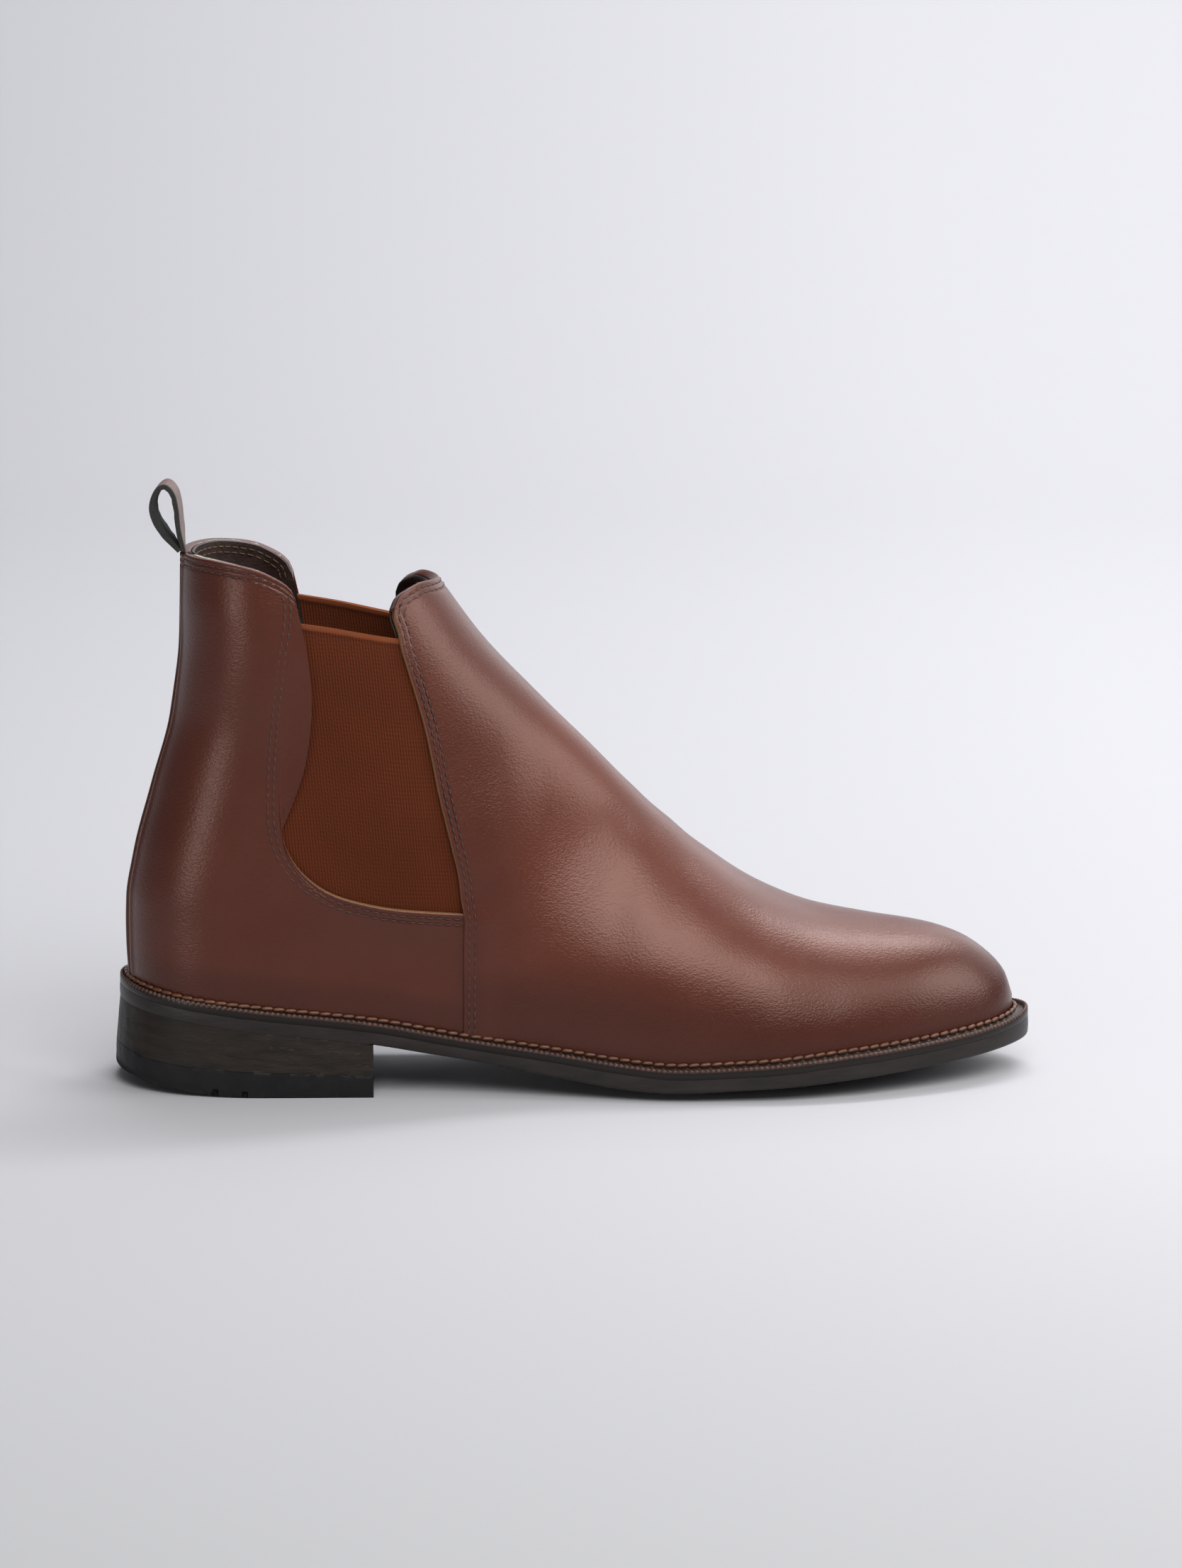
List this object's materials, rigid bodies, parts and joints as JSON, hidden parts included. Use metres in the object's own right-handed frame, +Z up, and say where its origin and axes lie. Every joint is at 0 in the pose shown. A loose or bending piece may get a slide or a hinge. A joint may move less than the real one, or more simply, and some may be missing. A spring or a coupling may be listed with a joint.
{
  "type": "chelsea boot",
  "caption": "Ankle boot for the right foot with elastic side gores, a rear pull loop, a storm welt and a low stacked heel.",
  "frame": {"origin": "middle of the flat face the heel stands on, on the floor, on the boot's centre line", "axes": "+X from heel to toe, +Y to the inner (medial) side of the right boot, +Z up from the floor"},
  "size_m": [0.3056, 0.1029, 0.2],
  "materials": {
    "upper_leather": "smooth brown calf, satin",
    "elastic": "rust-brown woven elastic, matt",
    "lining_leather": "dark brown lining leather, satin",
    "tab_leather": "brown leather with dark edges, satin",
    "stiffener": "pressed fibre stiffener, matt",
    "reinforcing_tape": "woven tape, matt",
    "welt_leather": "burnished brown leather, satin",
    "thread": "waxed thread",
    "foam": "soft foam pad, matt",
    "cork": "cork filler, matt",
    "steel": "plain steel",
    "insole_leather": "undyed insole leather, matt",
    "sole_leather": "black-brown edge-dressed leather, satin",
    "stack_leather": "black-brown stacked leather, satin",
    "lift_rubber": "dark grey rubber, matt"
  },
  "bodies": {
    "boot": {"vamp": "upper_leather", "quarter_lateral": "upper_leather", "quarter_medial": "upper_leather", "gore_lateral": "elastic", "gore_medial": "elastic", "vamp_lining": "lining_leather", "quarter_lining": "lining_leather", "heel_counter": "stiffener", "topline_tape_lateral": "reinforcing_tape", "topline_tape_medial": "reinforcing_tape", "pull_tab_tail": "tab_leather", "storm_welt": "welt_leather", "welt_stitch": "thread", "sock_liner": "lining_leather", "heel_pad": "foam", "cork_filler": "cork", "shank": "steel", "insole": "insole_leather", "outsole": "sole_leather", "heel_lift_1": "stack_leather", "heel_lift_2": "stack_leather", "heel_lift_3": "stack_leather", "heel_top_lift": "lift_rubber", "heel_nail_1": "steel", "heel_nail_2": "steel", "heel_nail_3": "steel", "heel_nail_4": "steel", "heel_nail_5": "steel"},
    "forefoot": {"toe_puff": "stiffener"},
    "pull_tab": {"pull_tab_loop": "tab_leather"}
  },
  "joints": [
    {"name": "forefoot_flex", "type": "hinge", "parent": "boot", "child": "forefoot", "pos_m": [0.133, 0, 0.007], "axis": [0, -1, 0], "range_deg": [0, 25], "deforming": ["vamp", "vamp_lining", "storm_welt", "welt_stitch", "sock_liner", "cork_filler", "insole", "outsole"]},
    {"name": "pull_tab_swing", "type": "hinge", "parent": "boot", "child": "pull_tab", "pos_m": [-0.0403, 0, 0.178], "axis": [0, 1, 0], "range_deg": [-40, 45]}
  ]
}
